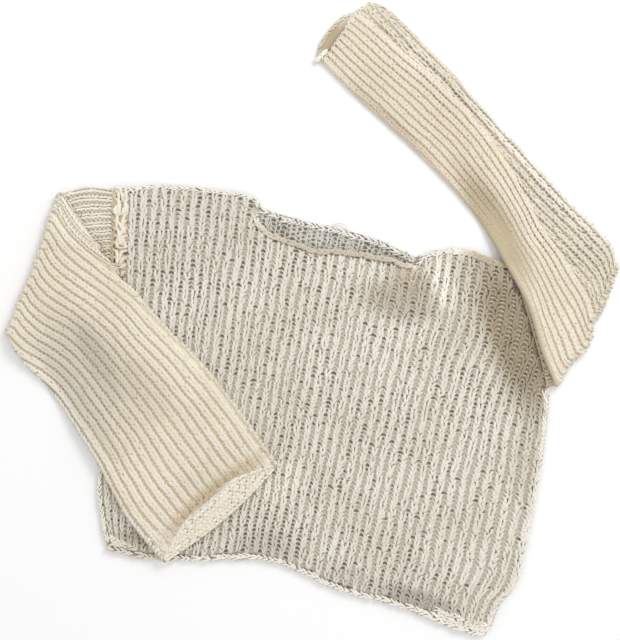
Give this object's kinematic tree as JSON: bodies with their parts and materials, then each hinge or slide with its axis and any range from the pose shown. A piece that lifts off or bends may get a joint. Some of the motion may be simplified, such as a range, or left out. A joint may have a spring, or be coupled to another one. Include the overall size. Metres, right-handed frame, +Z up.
{
  "type": "hand-knit wool pullover laid flat",
  "caption": "Loose cream stocking-stitch pullover with a boat neck and rolled edges, laid flat with both sleeves folded back; rests on a surface.",
  "frame": {"origin": "On the surface that the garment lies on, under the middle of its bounding box", "axes": "+Z up, out of the surface, through the thin way of the laid garment; +Y along its longest extent, from the hem towards the neck and the raised right cuff, about 10 degrees off the body's own middle line; +X from the left sleeve to the right one as seen from above"},
  "size_m": [0.709, 0.7364, 0.0173],
  "materials": {
    "wool_body": "undyed cream wool, loose see-through stocking stitch",
    "wool_sleeve": "undyed cream wool, close stocking stitch, matt and slightly fuzzy",
    "wool_edge": "undyed cream wool, rolled edge"
  },
  "bodies": {
    "root": {"back": "wool_body", "front": "wool_body", "sleeve_left": "wool_sleeve", "sleeve_right": "wool_sleeve", "hem_edging_front": "wool_edge", "hem_edging_back": "wool_edge", "neck_edging_front": "wool_edge", "neck_edging_back": "wool_edge"}
  },
  "joints": []
}
